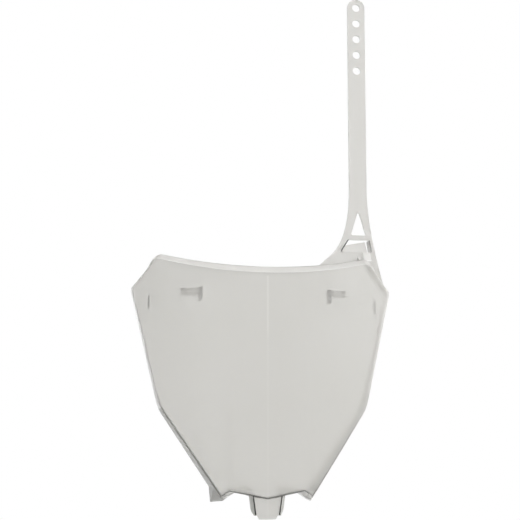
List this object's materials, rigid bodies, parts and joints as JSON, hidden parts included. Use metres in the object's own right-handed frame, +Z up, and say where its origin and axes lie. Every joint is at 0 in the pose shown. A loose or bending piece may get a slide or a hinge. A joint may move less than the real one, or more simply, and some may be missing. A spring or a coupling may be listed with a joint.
{
  "type": "motorbike number board",
  "caption": "Bowed thin plastic front number board with a turned-back edge, a bottom tab, rear cable hooks and a long holed strap above one shoulder.",
  "frame": {"origin": "middle of the rear side of the bottom tab, on the board's centre line", "axes": "+Z up along the ridge of the face, -Y out of the front of the face, +X towards the strap's side"},
  "size_m": [0.2446, 0.0455, 0.5019],
  "materials": {
    "clear_plastic": "hazy clear polypropylene with a soft sheen"
  },
  "bodies": {
    "root": {"number_board": "clear_plastic"}
  },
  "joints": []
}
